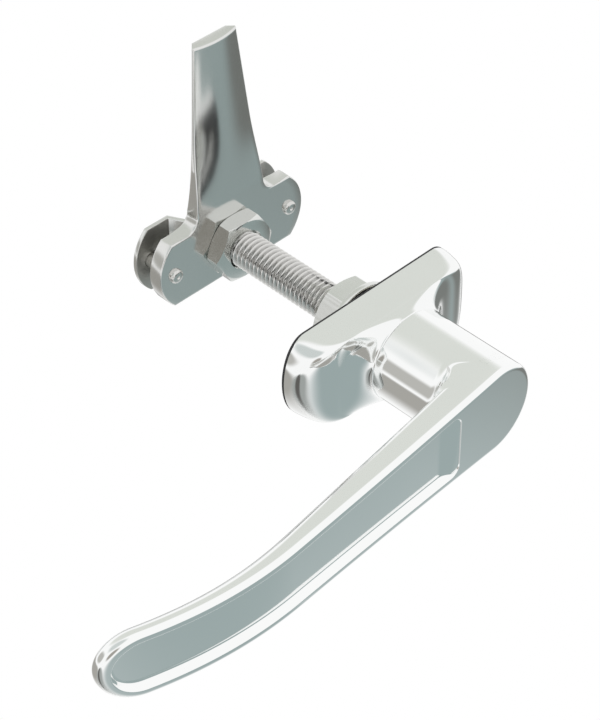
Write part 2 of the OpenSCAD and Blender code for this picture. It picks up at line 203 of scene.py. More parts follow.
# Materials


def add_node(tree, kind, place, **settings):
    node = tree.nodes.new(kind)
    node.location = place
    for key, value in settings.items():
        setattr(node, key, value)
    return node


def finish_group():
    """Patches of tone and gloss, with a fine grain, that plated and moulded surfaces share."""
    tree = bpy.data.node_groups.new("plated_finish", "ShaderNodeTree")
    for name, kind in (
        ("Vector", "NodeSocketVector"),
        ("Light", "NodeSocketColor"),
        ("Dark", "NodeSocketColor"),
        ("Patch Scale", "NodeSocketFloat"),
        ("Grain Scale", "NodeSocketFloat"),
        ("Rough Low", "NodeSocketFloat"),
        ("Rough High", "NodeSocketFloat"),
    ):
        tree.interface.new_socket(name, in_out="INPUT", socket_type=kind)
    for name, kind in (
        ("Color", "NodeSocketColor"),
        ("Roughness", "NodeSocketFloat"),
        ("Grain", "NodeSocketFloat"),
    ):
        tree.interface.new_socket(name, in_out="OUTPUT", socket_type=kind)
    inlet = add_node(tree, "NodeGroupInput", (-700, 0))
    outlet = add_node(tree, "NodeGroupOutput", (500, 0))
    patches = add_node(tree, "ShaderNodeTexNoise", (-400, 150))
    patches.inputs["Detail"].default_value = 4
    grain = add_node(tree, "ShaderNodeTexNoise", (-400, -200))
    grain.inputs["Detail"].default_value = 6
    tone = add_node(tree, "ShaderNodeMix", (0, 250), data_type="RGBA")
    gloss = add_node(tree, "ShaderNodeMapRange", (0, 0))
    gloss.inputs["From Min"].default_value = 0.3
    gloss.inputs["From Max"].default_value = 0.7
    link = tree.links.new
    link(inlet.outputs["Vector"], patches.inputs["Vector"])
    link(inlet.outputs["Vector"], grain.inputs["Vector"])
    link(inlet.outputs["Patch Scale"], patches.inputs["Scale"])
    link(inlet.outputs["Grain Scale"], grain.inputs["Scale"])
    link(patches.outputs["Fac"], tone.inputs["Factor"])
    link(inlet.outputs["Dark"], tone.inputs["A"])
    link(inlet.outputs["Light"], tone.inputs["B"])
    link(patches.outputs["Fac"], gloss.inputs["Value"])
    link(inlet.outputs["Rough Low"], gloss.inputs["To Min"])
    link(inlet.outputs["Rough High"], gloss.inputs["To Max"])
    link(tone.outputs["Result"], outlet.inputs["Color"])
    link(gloss.outputs["Result"], outlet.inputs["Roughness"])
    link(grain.outputs["Fac"], outlet.inputs["Grain"])
    return tree


def turning_group():
    """Rings about the spindle axis, as a lathe tool leaves them."""
    tree = bpy.data.node_groups.new("turning_rings", "ShaderNodeTree")
    tree.interface.new_socket("Vector", in_out="INPUT", socket_type="NodeSocketVector")
    tree.interface.new_socket("Rings", in_out="INPUT", socket_type="NodeSocketFloat")
    tree.interface.new_socket("Height", in_out="OUTPUT", socket_type="NodeSocketFloat")
    tree.interface.new_socket("Radius", in_out="OUTPUT", socket_type="NodeSocketFloat")
    inlet = add_node(tree, "NodeGroupInput", (-700, 0))
    outlet = add_node(tree, "NodeGroupOutput", (500, 0))
    split = add_node(tree, "ShaderNodeSeparateXYZ", (-500, 0))
    flat = add_node(tree, "ShaderNodeCombineXYZ", (-300, 0))
    radius = add_node(tree, "ShaderNodeVectorMath", (-100, 0), operation="LENGTH")
    scaled = add_node(tree, "ShaderNodeMath", (80, 0), operation="MULTIPLY")
    wave = add_node(tree, "ShaderNodeMath", (260, 0), operation="SINE")
    link = tree.links.new
    link(inlet.outputs["Vector"], split.inputs["Vector"])
    link(split.outputs["X"], flat.inputs["X"])
    link(split.outputs["Z"], flat.inputs["Z"])
    link(flat.outputs["Vector"], radius.inputs[0])
    link(radius.outputs["Value"], scaled.inputs[0])
    link(inlet.outputs["Rings"], scaled.inputs[1])
    link(scaled.outputs["Value"], wave.inputs[0])
    link(wave.outputs["Value"], outlet.inputs["Height"])
    link(radius.outputs["Value"], outlet.inputs["Radius"])
    return tree


FINISH = finish_group()
TURNING = turning_group()
# Share of the base colour left at a thread's root by the painted groove shade
GROOVE_SHADE = 0.55
RING_SHARE = 0.25


def surface(name, light, dark, rough, patch, grain, bump, metal, stretch=(1, 1, 1), rings=None, painted_groove_radii=None):
    """A material from the shared finish, with its own tones, gloss and grain.

    Rings adds turning marks; the last argument gives the two radii between which painted shade darkens a
    thread's grooves towards the root.
    """
    material = bpy.data.materials.new(name)
    material.use_nodes = True
    tree = material.node_tree
    shader = tree.nodes["Principled BSDF"]
    shader.inputs["Metallic"].default_value = metal
    coords = add_node(tree, "ShaderNodeTexCoord", (-1100, 0))
    mapping = add_node(tree, "ShaderNodeMapping", (-900, 0))
    mapping.inputs["Scale"].default_value = stretch
    group = add_node(tree, "ShaderNodeGroup", (-650, 0), node_tree=FINISH)
    group.inputs["Light"].default_value = (*light, 1)
    group.inputs["Dark"].default_value = (*dark, 1)
    group.inputs["Patch Scale"].default_value = patch
    group.inputs["Grain Scale"].default_value = grain
    group.inputs["Rough Low"].default_value = rough[0]
    group.inputs["Rough High"].default_value = rough[1]
    ridge = add_node(tree, "ShaderNodeBump", (-250, -250))
    ridge.inputs["Strength"].default_value = bump[0]
    ridge.inputs["Distance"].default_value = bump[1] * MM
    link = tree.links.new
    link(coords.outputs["Object"], mapping.inputs["Vector"])
    link(mapping.outputs["Vector"], group.inputs["Vector"])
    link(group.outputs["Color"], shader.inputs["Base Color"])
    link(group.outputs["Roughness"], shader.inputs["Roughness"])
    link(group.outputs["Grain"], ridge.inputs["Height"])
    link(ridge.outputs["Normal"], shader.inputs["Normal"])
    if rings:
        turned_marks = add_node(tree, "ShaderNodeGroup", (-650, -350), node_tree=TURNING)
        turned_marks.inputs["Rings"].default_value = rings
        heights = add_node(tree, "ShaderNodeMath", (-430, -300), operation="MULTIPLY_ADD")
        heights.inputs[1].default_value = RING_SHARE
        link(coords.outputs["Object"], turned_marks.inputs["Vector"])
        link(turned_marks.outputs["Height"], heights.inputs[0])
        link(group.outputs["Grain"], heights.inputs[2])
        link(heights.outputs["Value"], ridge.inputs["Height"])
    if painted_groove_radii:
        # Painted shade: the colour darkens from the crest radius down to the thread's root
        distance = add_node(tree, "ShaderNodeGroup", (-650, 350), node_tree=TURNING)
        shade = add_node(tree, "ShaderNodeMapRange", (-430, 350))
        shade.inputs["From Min"].default_value = painted_groove_radii[0] * MM
        shade.inputs["From Max"].default_value = painted_groove_radii[1] * MM
        shade.inputs["To Min"].default_value = GROOVE_SHADE
        darken = add_node(tree, "ShaderNodeMix", (-230, 250), data_type="RGBA", blend_type="MULTIPLY")
        darken.inputs["Factor"].default_value = 1.0
        link(coords.outputs["Object"], distance.inputs["Vector"])
        link(distance.outputs["Radius"], shade.inputs["Value"])
        link(group.outputs["Color"], darken.inputs["A"])
        link(shade.outputs["Result"], darken.inputs["B"])
        link(darken.outputs["Result"], shader.inputs["Base Color"])
    return material


HANDLE_CHROME = surface(
    "handle_chrome", (0.96, 0.965, 0.96), (0.92, 0.93, 0.925), (0.03, 0.07), 45, 160, (0.02, 0.01), 1.0
)
ESCUTCHEON_CHROME = surface(
    "escutcheon_chrome", (0.95, 0.955, 0.95), (0.90, 0.91, 0.905), (0.04, 0.08), 60, 180, (0.02, 0.01), 1.0
)
CAM_NICKEL = surface(
    "cam_nickel", (0.78, 0.78, 0.765), (0.70, 0.705, 0.69), (0.12, 0.18), 70, 350, (0.15, 0.03), 1.0,
    stretch=(1, 1, 0.25)
)
# Painted shade: a darker copy of the cam nickel, for the strap faces that look towards the back of the plate
NICKEL_PAINTED_SHADE = surface(
    "nickel_painted_shade", (0.50, 0.49, 0.46), (0.42, 0.415, 0.39), (0.38, 0.48), 70, 350, (0.1, 0.02), 1.0,
    stretch=(1, 1, 0.25)
)
NUT_ZINC = surface(
    "nut_zinc", (0.80, 0.81, 0.79), (0.71, 0.72, 0.70), (0.12, 0.2), 120, 700, (0.2, 0.03), 1.0, rings=16000
)
# Spindle zinc, with painted shade darkening the thread grooves towards the root
SPINDLE_ZINC = surface(
    "spindle_zinc", (0.80, 0.79, 0.77), (0.68, 0.675, 0.655), (0.16, 0.24), 150, 900, (0.05, 0.02), 1.0,
    painted_groove_radii=(4.3, 4.95)
)
PIN_ZINC = surface(
    "pin_zinc", (0.76, 0.755, 0.735), (0.64, 0.635, 0.615), (0.14, 0.22), 150, 900, (0.1, 0.02), 1.0
)
GASKET_RUBBER = surface(
    "gasket_rubber", (0.03, 0.03, 0.032), (0.014, 0.014, 0.015), (0.55, 0.75), 90, 2500, (0.4, 0.05), 0.0
)
BEARING_POLYMER = surface(
    "bearing_polymer", (0.82, 0.80, 0.72), (0.74, 0.72, 0.65), (0.4, 0.55), 80, 1500, (0.2, 0.03), 0.0
)


# Mesh helpers


def piece_from(name, points, faces, material, sharp_deg=SHARP_DEG):
    """A closed mesh piece, in metres, with merged points and outward faces."""
    mesh = bpy.data.meshes.new(name)
    mesh.from_pydata([Vector(p) * MM for p in points], [], faces)
    obj = bpy.data.objects.new(name, mesh)
    bpy.context.scene.collection.objects.link(obj)
    tidy_mesh(obj, sharp_deg)
    mesh.materials.append(material)
    return obj


def tidy_mesh(obj, sharp_deg):
    work = bmesh.new()
    work.from_mesh(obj.data)
    bmesh.ops.remove_doubles(work, verts=work.verts, dist=MERGE_DIST)
    bmesh.ops.dissolve_degenerate(work, edges=work.edges, dist=TINY_EDGE)
    bmesh.ops.recalc_face_normals(work, faces=work.faces)
    work.to_mesh(obj.data)
    work.free()
    obj.data.shade_smooth()
    obj.data.set_sharp_from_angle(angle=math.radians(sharp_deg))


def strip_faces(rows, columns, first=0, wrap_rows=False):
    """Faces between rows of points that each run once round."""
    faces = []
    for k in range(rows if wrap_rows else rows - 1):
        a, b = first + k * columns, first + ((k + 1) % rows) * columns
        for i in range(columns):
            j = (i + 1) % columns
            faces.append((a + i, a + j, b + j, b + i))
    return faces


def turned_shape(profile, columns=128, first=0, centre_x=0.0, ring=False):
    """A profile of (radius, y) turned about an axis along Y; a ring's profile runs back to its start."""
    points = []
    for r, y in profile:
        for i in range(columns):
            a = 2 * math.pi * i / columns
            points.append((centre_x + r * math.cos(a), y, r * math.sin(a)))
    return points, strip_faces(len(profile), columns, first, ring)


def rounded_ring(inner, outer, y0, y1, edge):
    """Profile of a washer with softened rims."""
    bend = edge * 0.3
    return [
        (inner, y0 + edge), (inner + edge, y0), (outer - edge, y0), (outer - bend, y0 + bend),
        (outer, y0 + edge), (outer, y1 - edge), (outer - bend, y1 - bend), (outer - edge, y1),
        (inner + edge, y1), (inner, y1 - edge),
    ]


def work_round(obj, operation, radius, y0, y1, centre_x=0.0, sharp_deg=SHARP_DEG):
    """Adds a round boss along Y to a piece, or cuts a round hole through it."""
    profile = [(0, y0), (radius, y0), (radius, y1), (0, y1)]
    points, faces = turned_shape(profile, columns=96, centre_x=centre_x)
    tool = piece_from("round_tool", points, faces, obj.data.materials[0])
    modifier = obj.modifiers.new("round_work", "BOOLEAN")
    modifier.operation = operation
    modifier.solver = "EXACT"
    modifier.object = tool
    plain_mesh(obj)
    bpy.data.objects.remove(tool)
    tidy_mesh(obj, sharp_deg)


def plain_mesh(obj):
    """Replaces a piece's mesh and modifiers by the evaluated result."""
    bpy.context.view_layer.update()
    evaluated = obj.evaluated_get(bpy.context.evaluated_depsgraph_get())
    result = bpy.data.meshes.new_from_object(evaluated)
    obj.modifiers.clear()
    obj.data = result


def mount_piece(obj, body, slot, *nodes):
    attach(obj, body)
    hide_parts(*nodes)


# Handle casting


def front_y(u):
    curl = CURL * clamp01((u - CURL_START) / (GRIP_LEN - CURL_START)) ** 2
    return -(HANDLE_REACH + u * LEAN) + curl


def grip_t(u):
    return TIP_T + (ROOT_T - TIP_T) * (1 - clamp01(u / GRIP_LEN)) ** 2


def back_y(u):
    return front_y(u) + grip_t(u)


TAPER = math.atan(2 * (NECK_R - GRIP_HALF) / TAPER_LEN)
TAPER_U = NECK_R * math.sin(TAPER)
TIP_U = GRIP_LEN - GRIP_HALF


def grip_half(u):
    rise = NECK_R * math.cos(TAPER) - GRIP_HALF
    return GRIP_HALF + rise * (1 - clamp01((u - TAPER_U) / TAPER_LEN)) ** 2


HUB_STEPS, SIDE_STEPS, TIP_STEPS, END_STEPS = 48, 120, 36, 26


def grip_upper():
    points = []
    for i in range(HUB_STEPS + 1):
        a = (math.pi / 2 + TAPER) * i / HUB_STEPS
        points.append((NECK_R * math.cos(a), NECK_R * math.sin(a)))
    for i in range(1, SIDE_STEPS + 1):
        u = mix(TAPER_U, TIP_U, i / SIDE_STEPS)
        points.append((-u, grip_half(u)))
    for i in range(1, TIP_STEPS + 1):
        a = math.pi / 2 * i / TIP_STEPS
        points.append((-(TIP_U + GRIP_HALF * math.sin(a)), GRIP_HALF * math.cos(a)))
    return points


def panel_upper():
    near = PANEL_START + PANEL_CORNER
    flat = grip_half(near) - PANEL_RIM - PANEL_CORNER
    tip_r = GRIP_HALF - PANEL_RIM
    points = [(-PANEL_START, flat * i / END_STEPS) for i in range(END_STEPS + 1)]
    for i in range(1, HUB_STEPS - END_STEPS + 1):
        a = math.pi / 2 * i / (HUB_STEPS - END_STEPS)
        points.append((-(near - PANEL_CORNER * math.cos(a)), flat + PANEL_CORNER * math.sin(a)))
    for i in range(1, SIDE_STEPS + 1):
        u = mix(near, TIP_U, i / SIDE_STEPS)
        points.append((-u, grip_half(u) - PANEL_RIM))
    for i in range(1, TIP_STEPS + 1):
        a = math.pi / 2 * i / TIP_STEPS
        points.append((-(TIP_U + tip_r * math.sin(a)), tip_r * math.cos(a)))
    return points


def whole_loop(upper):
    return upper + [(x, -z) for x, z in reversed(upper[1:-1])]


def inward(loop):
    n = len(loop)
    normals = []
    for i in range(n):
        dx = loop[(i + 1) % n][0] - loop[i - 1][0]
        dz = loop[(i + 1) % n][1] - loop[i - 1][1]
        length = math.hypot(dx, dz)
        normals.append((-dz / length, dx / length))
    return normals


def mirrored_cap(n, first):
    """Strips across a loop whose second half mirrors its first half."""
    faces = []
    for i in range(n // 2):
        quad = [first + i, first + i + 1, first + (n - i - 1) % n, first + (n - i) % n]
        face = list(dict.fromkeys(quad))
        faces.append(tuple(face))
    return faces


def panel_profile():
    """Steps of (inward, depth) from the rim down the sloping wall to the panel's floor."""
    foot = PANEL_DEPTH - PANEL_FILLET
    run = foot * math.tan(math.radians(PANEL_DRAFT))
    profile = PANEL_LIP + [(run, foot)]
    profile += [(run + d, foot + depth) for d, depth in PANEL_HOLLOW]
    profile += [(run + d, PANEL_DEPTH) for d in PANEL_FLOOR_STEPS]
    return profile


def grip_shell():
    """The grip with its rounded edges and the panel sunk into its front."""
    loop = whole_loop(grip_upper())
    normals = inward(loop)
    panel = whole_loop(panel_upper())
    panel_normals = inward(panel)
    n, steps = len(loop), 10
    points, rows = [], 0
    angles = [90.0 * k / steps for k in range(steps + 1)]
    back_rows = [(True, 90.0, FACE_BAND)] + [(True, a, 0.0) for a in reversed(angles)]
    front_rows = [(False, a, 0.0) for a in angles] + [(False, 90.0, FACE_BAND)]
    for back, degrees, extra in back_rows + front_rows:
        lean_in, lift = 1 - math.cos(math.radians(degrees)), 1 - math.sin(math.radians(degrees))
        for (x, z), (nx, nz) in zip(loop, normals):
            ramp = smoothstep((-x - BACK_RAMP[0]) / (BACK_RAMP[1] - BACK_RAMP[0]))
            inset = (mix(BACK_R, BACK_TIP_INSET, ramp) if back else FRONT_R) * lean_in + extra
            px, pz = x + nx * inset, z + nz * inset
            rise = mix(BACK_R, grip_t(-x) - FRONT_R - SIDE_BAND, ramp) * lift
            points.append((px, back_y(-px) - rise if back else front_y(-px) + FRONT_R * lift, pz))
        rows += 1
    for d, depth in panel_profile():
        for (x, z), (nx, nz) in zip(panel, panel_normals):
            shallow = mix(PANEL_NEAR_SHARE, 1.0, smoothstep((-x - PANEL_START) / PANEL_RUN_IN))
            px, pz = x + nx * d * shallow, z + nz * d * shallow
            points.append((px, front_y(-px) + depth * shallow, pz))
        rows += 1
    faces = strip_faces(rows, n) + mirrored_cap(n, 0) + mirrored_cap(n, (rows - 1) * n)
    return points, faces


def neck_shell(first):
    """The round neck with its journal, flaring into the back of the grip and cut off at the grip's sides."""
    columns, arc_steps, soft = 256, 20, 0.12
    sections = []
    for i in range(columns):
        a = 2 * math.pi * i / columns - math.pi
        deg = abs(math.degrees(a))
        flare = NECK_FILLET * smoothstep((FLARE_EDGE - deg) / (FLARE_EDGE - FLARE_FULL))
        reach = NECK_R + flare
        aside = smoothstep((deg - FLARE_FULL) / (FLARE_EDGE - FLARE_FULL))
        foot = mix(back_y(reach * math.cos(a)), back_y(0) - BACK_R, aside)
        section = [
            (SPINDLE_HOLE_R, JOURNAL_END_Y), (JOURNAL_R - JOURNAL_CHAMFER, JOURNAL_END_Y),
            (JOURNAL_R, JOURNAL_END_Y - JOURNAL_CHAMFER),
            (JOURNAL_R, NECK_Y), (NECK_R - soft, NECK_Y), (NECK_R, NECK_Y - soft),
            (NECK_R, mix(NECK_Y, foot + flare, 0.5)),
        ]
        for k in range(arc_steps + 1):
            b = math.pi / 2 * (1 - k / arc_steps)
            y = foot + flare * (1 - math.cos(b)) + ROW_STAGGER * (arc_steps - k)
            section.append((reach - flare * math.sin(b), y))
        section += [(reach, foot - BACK_R - FLARE_SINK), (SPINDLE_HOLE_R, SPINDLE_HOLE_END_Y)]
        column = []
        for r, y in section:
            x, z = -r * math.cos(a), r * math.sin(a)
            if r > NECK_R and x < 0:
                side = max(grip_half(-x) - FLARE_CLEAR, NECK_R * abs(math.sin(a)))
                z = math.copysign(soft_min(abs(z), side, FLARE_ROUND * (r - NECK_R) / NECK_FILLET), z)
            column.append((x, y, z))
        sections.append(column)
    rows = len(sections[0])
    points = [sections[i][k] for k in range(rows) for i in range(columns)]
    return points, strip_faces(rows, columns, first, True)


def make_handle():
    points, faces = grip_shell()
    neck_points, neck_faces = neck_shell(len(points))
    points += neck_points
    faces += neck_faces
    handle = piece_from("handle_casting", points, faces, HANDLE_CHROME, CAST_SHARP_DEG)
    mount_piece(handle, "handle", "handle_chrome", "handle")


# Escutcheon casting


def level_ring(half_l, y, steps=72):
    """One level of the escutcheon: a long rounded outline on the door, a circle at the collar."""
    t = clamp01((half_l - NECK_R) / (ESC_A - NECK_R))
    flat = LEVEL_FLAT_MIN + (ESC_A - END_LEN - LEVEL_FLAT_MIN) * t
    half_h = mix(NECK_R, ESC_B, t)
    power = 2 + LEVEL_FULLNESS * t * (1 - t) ** 1.5
    upper = []
    for side in (1, -1):
        for i in range(steps + 1):
            a = math.pi / 2 * (i if side > 0 else steps - i) / steps
            across, up = max(0.0, math.cos(a)), math.sin(a)
            reach = (across ** power + up ** power) ** (-1 / power)
            upper.append((side * (flat + (half_l - flat) * across * reach), half_h * up * reach))
    return [(x, y, z) for x, z in whole_loop(upper)]


def make_escutcheon():
    steps, soft = 30, 0.2
    lobe_half_l = ESC_A - NOSE_LEN
    rings = [level_ring(ESC_A - soft, -GASKET_T)]
    for i in range(steps + 1):
        a = math.pi / 2 * i / steps
        y = -GASKET_T - (LOBE_H - GASKET_T) * math.sin(a)
        rings.append(level_ring(lobe_half_l + NOSE_LEN * math.cos(a), min(y, -GASKET_T - soft)))
    for i in range(steps - 1, -1, -1):
        a = math.pi / 2 * i / steps
        y = -COLLAR_H + (COLLAR_H - LOBE_H) * math.sin(a)
        half_l = NECK_R + (lobe_half_l - NECK_R) * (1 - math.cos(a))
        rings.append(level_ring(half_l, max(y, -COLLAR_H + soft)))
    shrink = 1 - soft / NECK_R
    rings.append([(x * shrink, -COLLAR_H, z * shrink) for x, y, z in rings[-1]])
    n = len(rings[0])
    points = [p for ring in rings for p in ring]
    faces = strip_faces(len(rings), n) + mirrored_cap(n, 0) + mirrored_cap(n, (len(rings) - 1) * n)
    casting = piece_from("escutcheon_casting", points, faces, ESCUTCHEON_CHROME)
    work_round(casting, "DIFFERENCE", NECK_BORE_R, *ESC_CUT_Y)
    for x in (-SCREW_X, SCREW_X):
        work_round(casting, "UNION", SPIGOT_R, -2 * GASKET_T, 0, x)
        work_round(casting, "DIFFERENCE", SCREW_R, -GASKET_T - SCREW_DEPTH, ESC_CUT_Y[1], x)
    mount_piece(casting, "escutcheon", "escutcheon_chrome", "escutcheon")


def softened_copy(name, node, width, material, sharp_deg=SHARP_DEG):
    """A copy of a CAD node with its sharp edges rounded."""
    obj = bpy.data.objects.new(name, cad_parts[node].data.copy())
    bpy.context.scene.collection.objects.link(obj)
    obj.data.materials.clear()
    obj.data.materials.append(material)
    work = bmesh.new()
    work.from_mesh(obj.data)
    bmesh.ops.remove_doubles(work, verts=work.verts, dist=MERGE_DIST)
    flat = math.radians(FLAT_DEG)
    bmesh.ops.dissolve_limit(
        work, angle_limit=flat, verts=work.verts, edges=work.edges, use_dissolve_boundaries=False
    )
    work.to_mesh(obj.data)
    work.free()
    bevel = obj.modifiers.new("soft_edges", "BEVEL")
    bevel.width = width * MM
    bevel.segments = 3
    bevel.limit_method = "ANGLE"
    bevel.angle_limit = math.radians(BEVEL_DEG)
    plain_mesh(obj)
    tidy_mesh(obj, sharp_deg)
    return obj


# Threaded spindle and fasteners


def thread_tree():
    """A threaded rod along Y, wrapped from a flat grid."""
    tree = bpy.data.node_groups.new("spindle_thread", "GeometryNodeTree")
    for name, kind in (
        ("Start", "NodeSocketFloat"), ("Length", "NodeSocketFloat"), ("Major Radius", "NodeSocketFloat"),
        ("Depth", "NodeSocketFloat"), ("Pitch", "NodeSocketFloat"), ("Chamfer", "NodeSocketFloat"),
        ("Columns", "NodeSocketInt"), ("Rows", "NodeSocketInt"), ("Finish", "NodeSocketMaterial"),
    ):
        tree.interface.new_socket(name, in_out="INPUT", socket_type=kind)
    tree.interface.new_socket("Rod", in_out="OUTPUT", socket_type="NodeSocketGeometry")
    inlet = add_node(tree, "NodeGroupInput", (-1400, 0))
    outlet = add_node(tree, "NodeGroupOutput", (1400, 0))
    link = tree.links.new

    def maths(operation, a, b=None):
        node = add_node(tree, "ShaderNodeMath", (0, 0), operation=operation)
        for socket, value in zip(node.inputs, (a, b)):
            if value is None:
                continue
            if isinstance(value, (int, float)):
                socket.default_value = value
            else:
                link(value, socket)
        return node.outputs["Value"]

    grid = add_node(tree, "GeometryNodeMeshGrid", (-1100, 300))
    grid.inputs["Size X"].default_value = 1
    grid.inputs["Size Y"].default_value = 1
    link(inlet.outputs["Columns"], grid.inputs["Vertices X"])
    link(inlet.outputs["Rows"], grid.inputs["Vertices Y"])
    place = add_node(tree, "GeometryNodeInputPosition", (-1100, -100))
    split = add_node(tree, "ShaderNodeSeparateXYZ", (-950, -100))
    link(place.outputs["Position"], split.inputs["Vector"])
    turn = maths("ADD", split.outputs["X"], 0.5)
    share = maths("ADD", split.outputs["Y"], 0.5)
    angle = maths("MULTIPLY", turn, 2 * math.pi)
    along = maths("MULTIPLY", share, inlet.outputs["Length"])
    turns = maths("SUBTRACT", maths("DIVIDE", along, inlet.outputs["Pitch"]), turn)
    phase = maths("FRACT", maths("ADD", turns, WHOLE_TURNS))
    vee = maths("MULTIPLY", maths("ABSOLUTE", maths("SUBTRACT", phase, 0.5)), 2.0)
    slope = maths("MULTIPLY", maths("SUBTRACT", vee, CREST_SHARE), FLANK_SLOPE)
    groove = maths("MINIMUM", maths("MAXIMUM", slope, 0.0), 1.0)
    cut = maths("MULTIPLY", groove, inlet.outputs["Depth"])
    crest = maths("SUBTRACT", inlet.outputs["Major Radius"], cut)
    to_end = maths("MINIMUM", along, maths("SUBTRACT", inlet.outputs["Length"], along))
    limit = maths("ADD", maths("SUBTRACT", inlet.outputs["Major Radius"], inlet.outputs["Chamfer"]), to_end)
    inside = maths("GREATER_THAN", to_end, TINY_EDGE)
    radius = maths("MULTIPLY", maths("MINIMUM", crest, limit), inside)
    spot = add_node(tree, "ShaderNodeCombineXYZ", (500, -100))
    link(maths("MULTIPLY", radius, maths("COSINE", angle)), spot.inputs["X"])
    link(maths("ADD", along, inlet.outputs["Start"]), spot.inputs["Y"])
    link(maths("MULTIPLY", radius, maths("SINE", angle)), spot.inputs["Z"])
    wrap = add_node(tree, "GeometryNodeSetPosition", (700, 200))
    weld = add_node(tree, "GeometryNodeMergeByDistance", (900, 200))
    weld.inputs["Distance"].default_value = WELD_DIST
    realize = add_node(tree, "GeometryNodeRealizeInstances", (1050, 200))
    paint = add_node(tree, "GeometryNodeSetMaterial", (1200, 200))
    link(grid.outputs["Mesh"], wrap.inputs["Geometry"])
    link(spot.outputs["Vector"], wrap.inputs["Position"])
    link(wrap.outputs["Geometry"], weld.inputs["Geometry"])
    link(weld.outputs["Geometry"], realize.inputs["Geometry"])
    link(realize.outputs["Geometry"], paint.inputs["Geometry"])
    link(inlet.outputs["Finish"], paint.inputs["Material"])
    link(paint.outputs["Geometry"], outlet.inputs["Rod"])
    return tree


def make_spindle():
    tree = thread_tree()
    spindle = bpy.data.objects.new("spindle_rod", bpy.data.meshes.new("spindle_rod"))
    bpy.context.scene.collection.objects.link(spindle)
    modifier = spindle.modifiers.new("thread", "NODES")
    modifier.node_group = tree
    length = SPINDLE_Y[1] - SPINDLE_Y[0]
    sizes = {
        "Start": SPINDLE_Y[0] * MM, "Length": length * MM,
        "Major Radius": SPINDLE_R * MM, "Depth": THREAD_DEPTH * MM,
        "Pitch": THREAD_PITCH * MM, "Chamfer": SPINDLE_CHAMFER * MM, "Columns": THREAD_COLUMNS,
        "Rows": int(length / THREAD_PITCH * ROWS_PER_TURN), "Finish": SPINDLE_ZINC,
    }
    for item in tree.interface.items_tree:
        if item.in_out == "INPUT":
            modifier[item.identifier] = sizes[item.name]
    plain_mesh(spindle)
    tidy_mesh(spindle, CAST_SHARP_DEG)
    mount_piece(spindle, "handle", "spindle_steel", "spindle")


def hexagon_radius(angle, across_flats, round_share=0.985):
    """Radius of a hexagon with softened corners, with a corner along +X."""
    part = (math.degrees(angle) + 30.0) % 60.0 - 30.0
    flat = across_flats / 2 / math.cos(math.radians(30.0 - abs(part)))
    corner = across_flats / 2 / math.cos(math.radians(30.0)) * round_share
    return min(flat, corner)


def make_nut(name, node, body, size):
    y0, thickness, turn = size
    columns, rows = 240, 10
    face_r = NUT_AF / 2 - NUT_FACE_INSET
    rim_in, rim_out = face_r - NUT_RIM_IN, face_r + NUT_RIM_OUT
    bore, mouth = SPINDLE_HOLE_R, SPINDLE_HOLE_R + NUT_MOUTH
    slope = math.tan(math.radians(NUT_CHAMFER_DEG))
    points = []
    for part in range(rows):
        for i in range(columns):
            a = 2 * math.pi * i / columns
            r = hexagon_radius(a, NUT_AF)
            fall = (r - face_r) * slope
            spots = [
                (bore, mouth - bore), (mouth, 0.0), (rim_in, 0.0), (rim_out, NUT_RIM_FALL), (r, fall),
                (r, thickness - fall), (rim_out, thickness - NUT_RIM_FALL), (rim_in, thickness),
                (mouth, thickness), (bore, thickness - (mouth - bore)),
            ]
            radius, y = spots[part]
            b = a - math.radians(turn)
            points.append((radius * math.cos(b), y0 + y, radius * math.sin(b)))
    nut = piece_from(name, points, strip_faces(rows, columns, 0, True), NUT_ZINC, NUT_SHARP_DEG)
    mount_piece(nut, body, "nut_steel", node)


def make_washers():
    for name, node, body, slot, size, material in (
        ("slide_ring", "slide_washer", "escutcheon", "bearing_polymer", SLIDE_WASHER, BEARING_POLYMER),
        ("retaining_ring", "retaining_washer", "handle", "nut_steel", RETAINING_WASHER, NUT_ZINC),
    ):
        points, faces = turned_shape(rounded_ring(*size), columns=192, ring=True)
        mount_piece(piece_from(name, points, faces, material), body, slot, node)


def make_rod_pins():
    y0, y1 = PIN_Y
    columns, steps = 64, 8
    dome = list(PIN_DIMPLE)
    for i in range(1, steps + 1):
        a = math.pi / 2 * i / steps
        dome.append((PIN_R - PIN_DOME_R + PIN_DOME_R * math.sin(a), PIN_DOME_R * (1 - math.cos(a))))
    profile = [(r, y0 + d) for r, d in dome] + [(r, y1 - d) for r, d in reversed(dome)]
    points, faces = turned_shape(profile, columns, 0, -PIN_X)
    more_points, more_faces = turned_shape(profile, columns, len(points), PIN_X)
    pins = piece_from("rod_pin_pair", points + more_points, faces + more_faces, PIN_ZINC)
    mount_piece(pins, "cam", "spindle_steel", "rod_pins")


# Rod cam


def plate_half_width(z):
    if z <= EAR_H:
        return EAR_CENTRE_X + math.sqrt(EAR_END_R ** 2 - z * z)
    if z <= TONGUE_FOOT:
        centre = TONGUE_ROOT_HALF + EAR_FILLET
        return centre - math.sqrt(max(0.0, EAR_FILLET ** 2 - (TONGUE_FOOT - z) ** 2))
    t = (z - TONGUE_FOOT) / (TONGUE_TIP - TONGUE_FOOT)
    return mix(TONGUE_ROOT_HALF, TONGUE_TIP_HALF, t)


def plate_edge_drop(x, z, half):
    """How far the softened edge falls below the face at a point of the plate."""
    d = min(half - abs(x), z + EAR_H, TONGUE_TIP - z)
    if z <= EAR_H and abs(x) > TONGUE_ROOT_HALF + EAR_FILLET:
        d = min(d, EAR_H - z)
    if d >= PLATE_EDGE_R:
        return 0.0
    return PLATE_EDGE_R - math.sqrt(max(0.0, PLATE_EDGE_R ** 2 - (PLATE_EDGE_R - max(0.0, d)) ** 2))


